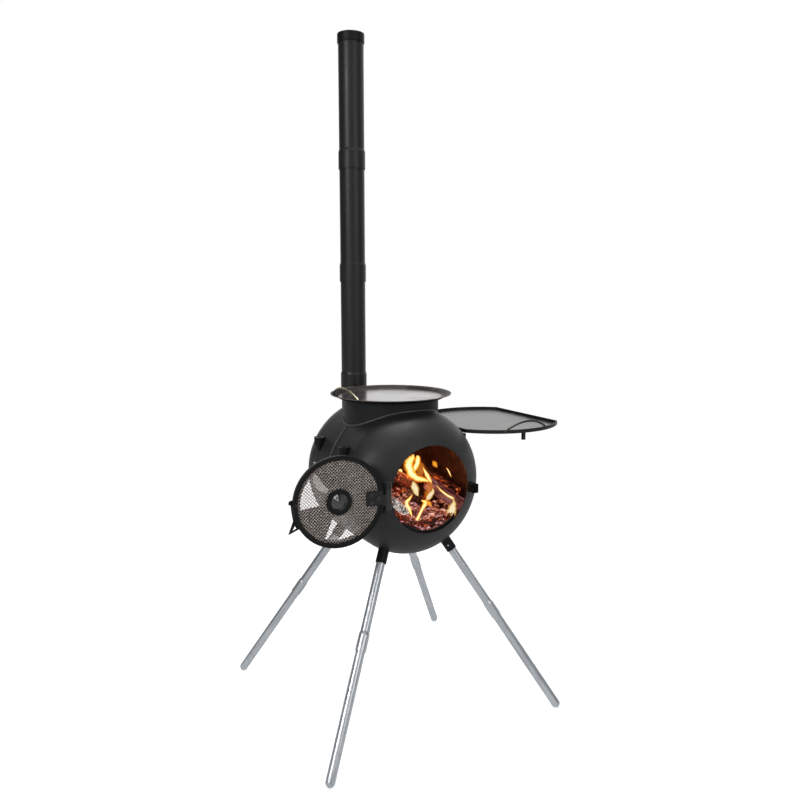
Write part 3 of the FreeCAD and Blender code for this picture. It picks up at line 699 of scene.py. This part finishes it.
def coals():
    """Loose broken coals and ash flakes on and around the bed."""
    rng = random.Random(11)
    zones = [((-0.016, -0.070, 0.490), (0.030, 0.020, 0.022), 26, (0.0035, 0.0075)),
             ((0.060, -0.100, 0.441), (0.040, 0.026, 0.010), 46, (0.0030, 0.0085)),
             ((-0.010, -0.120, 0.446), (0.050, 0.020, 0.010), 26, (0.0040, 0.0090)),
             ((0.030, -0.060, 0.450), (0.080, 0.050, 0.010), 34, (0.0050, 0.0110)),
             ((0.110, -0.070, 0.462), (0.018, 0.030, 0.014), 14, (0.0040, 0.0090))]
    verts, faces, glow = [], [], []
    for (c, sp, cnt, (ra, rb)) in zones:
        for _ in range(cnt):
            p = Vector([c[k] + sp[k] * rng.uniform(-1, 1) for k in range(3)])
            r = rng.uniform(ra, rb)
            sc = Vector((rng.uniform(0.8, 1.5), rng.uniform(0.8, 1.4), rng.uniform(0.5, 0.9)))
            rot = Matrix.Rotation(rng.uniform(0, 6.28), 3, "Z") @ Matrix.Rotation(rng.uniform(-0.6, 0.6), 3, "X")
            sd = rng.uniform(0, 50)
            nlat, nlon = 7, 10
            base = len(verts)
            for i in range(nlat + 1):
                th = math.pi * i / nlat
                for k in range(nlon):
                    ph = 2 * math.pi * k / nlon
                    d = Vector((math.sin(th) * math.cos(ph), math.sin(th) * math.sin(ph), math.cos(th)))
                    dd, _ = noise.voronoi(d * 1.3 + Vector((sd, 0, 0)))
                    q = d * (r * (0.58 + 0.85 * (dd[1] - dd[0]) + 0.34 * noise.noise(d * 2.2 + Vector((sd, 1, 0)))))
                    q = rot @ Vector((q.x * sc.x, q.y * sc.y, q.z * sc.z))
                    verts.append(p + q)
                    glow.append(max(0.0, min(1.0, 0.55 - 0.55 * d.z + 0.3 * noise.noise(d * 2 + Vector((sd, 0, 3))))))
            for i in range(nlat):
                for k in range(nlon):
                    l = (k + 1) % nlon
                    faces.append((base + i * nlon + k, base + (i + 1) * nlon + k, base + (i + 1) * nlon + l, base + i * nlon + l))
    add_mesh("coals", verts, faces, "firebox", m_coal, smooth=False, attrs={"glow": glow})


coals()


def flame_mat(name, cols, strength, alpha, grain=90.0):
    """Emissive tongue, thinner towards its ends."""
    M = Mat(name)
    f = M.attr("body")
    n = M.noise(grain, M.mapped(scale=(1, 1, 0.45)), 4, 0.6, 0.6)
    hot = M.math("ADD", M.math("MULTIPLY", f, 0.75), M.math("MULTIPLY", n, 0.42), True)
    em = M.n("ShaderNodeEmission", {"Color": M.ramp(hot, cols), "Strength": strength})
    tr = M.n("ShaderNodeBsdfTransparent")
    a = M.math("MULTIPLY", M.rng(M.math("ADD", f, M.math("MULTIPLY", n, 0.35)), 0.22, 0.75, 0.0, 1.0), alpha)
    mx = M.n("ShaderNodeMixShader", {0: a, 1: tr.outputs[0], 2: em.outputs[0]})
    M.t.links.new(mx.outputs[0], M.out.inputs[0])
    return M.m


FL = [flame_mat("flame_1", [(0.2, (0.50, 0.03, 0.001)), (0.6, (0.90, 0.12, 0.004)), (1.0, (1.0, 0.22, 0.01))], 1.0, 0.16, 130.0),
      flame_mat("flame_2", [(0.2, (0.85, 0.10, 0.003)), (0.6, (1.0, 0.27, 0.010)), (1.0, (1.0, 0.42, 0.025))], 1.2, 0.20, 130.0),
      flame_mat("flame_3", [(0.2, (0.95, 0.22, 0.008)), (0.6, (1.0, 0.50, 0.030)), (1.0, (1.0, 0.66, 0.09))], 1.3, 0.26, 120.0),
      flame_mat("flame_4", [(0.2, (1.0, 0.40, 0.02)), (0.6, (1.0, 0.72, 0.12)), (1.0, (1.0, 0.86, 0.30))], 1.5, 0.42, 110.0),
      flame_mat("flame_5", [(0.2, (1.0, 0.55, 0.06)), (0.5, (1.0, 0.80, 0.22)), (0.8, (1.0, 0.94, 0.52)), (1.0, (1.0, 0.98, 0.80))], 2.2, 0.93, 100.0)]
FL_PALE = [flame_mat("flame_pale_1", [(0.2, (0.55, 0.12, 0.010)), (0.6, (0.80, 0.32, 0.03)), (1.0, (0.90, 0.48, 0.08))], 0.9, 0.22, 130.0),
           flame_mat("flame_pale_2", [(0.2, (0.75, 0.34, 0.04)), (0.6, (0.84, 0.58, 0.16)), (1.0, (0.88, 0.72, 0.32))], 1.0, 0.36, 160.0),
           flame_mat("flame_pale_3", [(0.2, (0.80, 0.50, 0.12)), (0.5, (0.82, 0.70, 0.34)), (0.8, (0.88, 0.83, 0.56)), (1.0, (0.94, 0.93, 0.80))], 1.15, 0.78, 150.0)]
FL_THIN = [flame_mat("flame_thin_1", [(0.2, (0.20, 0.012, 0.002)), (0.6, (0.45, 0.045, 0.004)), (1.0, (0.80, 0.13, 0.010))], 0.8, 0.16, 160.0),
           flame_mat("flame_thin_2", [(0.45, (0.25, 0.015, 0.003)), (0.7, (0.85, 0.16, 0.012)), (1.0, (1.0, 0.40, 0.05))], 0.9, 0.24, 240.0)]
SHELLS = {"core": (FL, (1.16, 1.00, 0.84, 0.66, 0.46)), "pale": (FL_PALE, (1.16, 0.92, 0.66)),
          "orange": (FL[:3], (1.08, 0.80, 0.50)), "thin": (FL_THIN, (1.05, 0.70))}


def flame(name, pts, core="core", seed=0.0, depth=0.55):
    pts = smooth_path(pts, 9)
    n = len(pts)
    path, rr = pts[:, :3], pts[:, 3]
    # licking edge: the tongue narrows, swells and sways a little along its length
    for i in range(n):
        q = Vector((seed, i * 0.19, 0.0))
        path[i, 0] += 0.0016 * noise.noise(q) * min(1.0, rr[i] / 0.006)
    for j, (m, s) in enumerate(zip(*SHELLS[core])):
        seg = 18
        radii = [max(0.00012, r * s * (0.30 + 0.70 * math.sin(math.pi * min(1, max(0, (i + 0.6) / n))) ** 0.5)
                     * (1 + 0.22 * noise.noise(Vector((i * 0.33, seed * 1.7, j * 0.35))))) for i, r in enumerate(rr)]
        v = tube_rows(path, radii, seg, depth, 0.18, seed + 0.4 * j)
        body = []
        for i in range(n):
            t = i / (n - 1)
            b = min(1.0, math.sin(math.pi * min(0.97, max(0.03, t))) ** 0.6)
            body += [b] * seg
        add_mesh("%s_%d" % (name, j), v, tube_faces(n, seg), "firebox", m, attrs={"body": body})


FLAMES = {
    "flame_a": ([(0.0109, -0.085, 0.5877, 0.00444), (0.0058, -0.085, 0.5804, 0.01108), (-0.0019, -0.085, 0.5700, 0.01218),
                 (-0.0006, -0.085, 0.5586, 0.01054), (0.0058, -0.085, 0.5441, 0.00891), (0.0201, -0.085, 0.5325, 0.00784),
                 (0.0384, -0.085, 0.5267, 0.00677), (0.0557, -0.085, 0.5170, 0.00227)], "core"),
    "flame_b": ([(0.0230, -0.080, 0.5831, 0.00558), (0.0243, -0.080, 0.5750, 0.00783), (0.0218, -0.080, 0.5639, 0.00671),
                 (0.0140, -0.080, 0.5512, 0.00671), (0.0114, -0.080, 0.5424, 0.00447)], "core"),
    "flame_c": ([(0.0331, -0.088, 0.5567, 0.00112), (0.0378, -0.088, 0.5476, 0.00337), (0.0447, -0.088, 0.5353, 0.00496),
                 (0.0511, -0.088, 0.5252, 0.00475), (0.0565, -0.088, 0.5153, 0.0017)], "core"),
    "flame_d": ([(0.0317, -0.070, 0.5722, 0.00563), (0.0357, -0.070, 0.5602, 0.01017), (0.0370, -0.070, 0.5485, 0.01245),
                 (0.0384, -0.070, 0.5368, 0.01021), (0.0411, -0.070, 0.5272, 0.00455)], "thin"),
    "flame_e": ([(0.0007, -0.098, 0.5318, 0.00221), (0.0027, -0.098, 0.5236, 0.00665), (0.0071, -0.098, 0.5128, 0.00779),
                 (0.0110, -0.098, 0.5032, 0.00613), (0.0149, -0.098, 0.4958, 0.00224)], "pale"),
    "flame_f": ([(0.0344, -0.100, 0.5267, 0.00447), (0.0410, -0.100, 0.5178, 0.0101), (0.0424, -0.100, 0.5062, 0.01124),
                 (0.0359, -0.100, 0.4956, 0.01012), (0.0307, -0.100, 0.4860, 0.0045)], "thin"),
    "flame_f2": ([(0.0480, -0.106, 0.5110, 0.0016), (0.0478, -0.106, 0.5040, 0.0042), (0.0420, -0.106, 0.4970, 0.0058),
                  (0.0355, -0.106, 0.4905, 0.0066), (0.0315, -0.106, 0.4855, 0.0030)], "pale"),
    "flame_g": ([(-0.0107, -0.115, 0.5069, 0.00165), (-0.0183, -0.115, 0.4979, 0.00439), (-0.0258, -0.115, 0.4900, 0.00493),
                 (-0.0195, -0.115, 0.4778, 0.0044), (-0.0145, -0.115, 0.4658, 0.00331), (-0.0119, -0.115, 0.4563, 0.00111)], "core"),
    "flame_h": ([(0.0142, -0.112, 0.4891, 0.00333), (0.0246, -0.112, 0.4830, 0.00781), (0.0194, -0.112, 0.4735, 0.00502),
                 (0.0117, -0.112, 0.4610, 0.00402), (0.0040, -0.112, 0.4485, 0.00446), (-0.0063, -0.112, 0.4364, 0.00557),
                 (-0.0152, -0.112, 0.4299, 0.00223)], "core"),
    "flame_i": ([(0.0232, -0.112, 0.4843, 0.00335), (0.0337, -0.112, 0.4805, 0.0056), (0.0403, -0.112, 0.4704, 0.00225)], "orange"),
    "flame_j": ([(0.0935, -0.122, 0.4835, 0.00113), (0.0926, -0.122, 0.4721, 0.00682), (0.0884, -0.122, 0.4588, 0.01092),
                 (0.0831, -0.122, 0.4457, 0.00967), (0.0779, -0.122, 0.4337, 0.00342)], "pale"),
    "flame_k": ([(0.0950, -0.030, 0.5533, 0.00176), (0.0998, -0.030, 0.5456, 0.00647), (0.1040, -0.030, 0.5403, 0.00471),
                 (0.1082, -0.030, 0.5350, 0.00118)], "orange"),
    "flame_l": ([(-0.0143, -0.060, 0.5470, 0.00168), (-0.0092, -0.060, 0.5489, 0.00393), (-0.0040, -0.060, 0.5457, 0.00169)], "core"),
    "flame_m": ([(0.1269, -0.040, 0.5348, 0.00095), (0.1340, -0.040, 0.5243, 0.0019), (0.1403, -0.040, 0.5106, 0.00143)], "core"),
    "flame_n": ([(0.0583, -0.104, 0.5164, 0.0009), (0.0703, -0.104, 0.5033, 0.00226), (0.0865, -0.104, 0.4894, 0.00251),
                 (0.1029, -0.104, 0.4801, 0.00298), (0.1195, -0.104, 0.4707, 0.0037), (0.1264, -0.104, 0.4649, 0.00232)], "core"),
}
for i, (k, (pts, core)) in enumerate(FLAMES.items()):
    flame(k, pts, core, 3.7 * i)


# ================================================================ lights
def area(name, loc, target, size, power, color=(1, 1, 1)):
    L = bpy.data.lights.new(name, "AREA")
    L.shape = "DISK"
    L.size = size
    L.energy = power
    L.color = color
    o = bpy.data.objects.new(name, L)
    o.location = loc
    o.rotation_euler = (Vector(target) - Vector(loc)).to_track_quat("-Z", "Y").to_euler()
    scene.collection.objects.link(o)


area("top", (0.35, 0.15, 3.3), (0, 0, 0.7), 1.7, 62.0)
area("side", (-3.0, -1.0, 2.1), (0, 0, 0.6), 0.8, 24.0)
area("fill", (0.6, -3.2, 1.9), (0, 0, 0.7), 2.0, 12.0)


def fire_light(name, loc, power, r, color):
    L = bpy.data.lights.new(name, "POINT")
    L.energy = power
    L.color = color
    L.shadow_soft_size = r
    o = bpy.data.objects.new(name, L)
    o.location = loc
    scene.collection.objects.link(o)


fire_light("fire_mid", (0.015, -0.050, 0.560), 0.50, 0.03, (1.0, 0.40, 0.14))
fire_light("fire_low", (0.030, -0.110, 0.500), 0.16, 0.02, (1.0, 0.50, 0.30))

world = bpy.data.worlds.new("studio")
scene.world = world
world.use_nodes = True
wt = world.node_tree
wt.nodes.clear()
w_out = wt.nodes.new("ShaderNodeOutputWorld")
w_mix = wt.nodes.new("ShaderNodeMixShader")
w_lp = wt.nodes.new("ShaderNodeLightPath")
w_cam = wt.nodes.new("ShaderNodeBackground")
w_cam.inputs[0].default_value = (1, 1, 1, 1)
w_cam.inputs[1].default_value = 1.0
w_bg = wt.nodes.new("ShaderNodeBackground")
w_bg.inputs[1].default_value = 1.0
w_tc = wt.nodes.new("ShaderNodeTexCoord")
wl = wt.links.new


def lobe(direction, lo, hi, value):
    """Soft patch of light in the studio, brightest towards one direction."""
    d = wt.nodes.new("ShaderNodeVectorMath")
    d.operation = "DOT_PRODUCT"
    wl(w_tc.outputs["Generated"], d.inputs[0])
    d.inputs[1].default_value = Vector(direction).normalized()
    m = wt.nodes.new("ShaderNodeMapRange")
    m.interpolation_type = "SMOOTHSTEP"
    wl(d.outputs["Value"], m.inputs["Value"])
    m.inputs["From Min"].default_value = lo
    m.inputs["From Max"].default_value = hi
    m.inputs["To Min"].default_value = 0.0
    m.inputs["To Max"].default_value = value
    return m.outputs[0]


lobes = [lobe((0.50, 0.85, 0.16), 0.62, 0.93, 0.90), lobe((0.95, 0.1, 0.25), 0.80, 0.97, 0.50),
         lobe((-0.75, -0.55, 0.30), 0.80, 0.98, 0.50), lobe((0.1, -0.95, 0.2), 0.86, 0.98, 0.28), lobe((0, 0, 1), 0.55, 0.95, 0.35)]
total = None
for L in lobes:
    a = wt.nodes.new("ShaderNodeMath")
    a.operation = "ADD"
    wl(L, a.inputs[0])
    if total is None:
        a.inputs[1].default_value = 0.10
    else:
        wl(total, a.inputs[1])
    total = a.outputs[0]
wl(total, w_bg.inputs[0])
wl(w_lp.outputs["Is Camera Ray"], w_mix.inputs[0])
wl(w_bg.outputs[0], w_mix.inputs[1])
wl(w_cam.outputs[0], w_mix.inputs[2])
wl(w_mix.outputs[0], w_out.inputs[0])

# ================================================================ floor
FM = Mat("floor_white")
fx, fy, fz = FM.xyz()[0:3]
fr = FM.math("SQRT", FM.math("ADD", FM.math("MULTIPLY", fx, fx), FM.math("MULTIPLY", fy, fy)))
fd = FM.n("ShaderNodeBsdfDiffuse", {"Color": FM.ramp(FM.noise(3.0, None, 4, 0.5), [(0.3, (0.88, 0.88, 0.88)), (0.7, (0.92, 0.92, 0.92))])})
fe = FM.n("ShaderNodeEmission", {"Color": (1, 1, 1, 1), "Strength": 1.0})
fsum = FM.n("ShaderNodeAddShader", {0: fd.outputs[0], 1: FM.n("ShaderNodeEmission", {"Color": (1, 1, 1, 1), "Strength": 0.66}).outputs[0]})
fm = FM.n("ShaderNodeMixShader", {0: FM.rng(fr, 0.60, 1.6, 0.0, 1.0), 1: fsum.outputs[0], 2: fe.outputs[0]})
fl = FM.n("ShaderNodeLightPath")
fb0 = FM.n("ShaderNodeBsdfDiffuse", {"Color": (0.34, 0.34, 0.35, 1)})
fb1 = FM.n("ShaderNodeEmission", {"Color": (0.97, 0.985, 1, 1), "Strength": 0.55})
fb = FM.n("ShaderNodeMixShader", {0: fl.outputs["Is Glossy Ray"], 1: fb0.outputs[0], 2: fb1.outputs[0]})
fz2 = FM.n("ShaderNodeMixShader", {0: fl.outputs["Is Camera Ray"], 1: fb.outputs[0], 2: fm.outputs[0]})
FM.t.links.new(fz2.outputs[0], FM.out.inputs[0])
seg = 96
fv = [(0.0, 0.0, 0.0)]
for rr_ in (0.8, 2.4, 9.0):
    fv += [(rr_ * math.cos(2 * math.pi * k / seg), rr_ * math.sin(2 * math.pi * k / seg), 0.0) for k in range(seg)]
ff = [(0, 1 + k, 1 + (k + 1) % seg) for k in range(seg)]
for j in range(2):
    for k in range(seg):
        l = (k + 1) % seg
        ff.append((1 + j * seg + k, 1 + (j + 1) * seg + k, 1 + (j + 1) * seg + l, 1 + j * seg + l))
fme = bpy.data.meshes.new("floor")
fme.from_pydata(fv, [], ff)
floor = bpy.data.objects.new("floor", fme)
scene.collection.objects.link(floor)
floor.data.materials.append(FM.m)
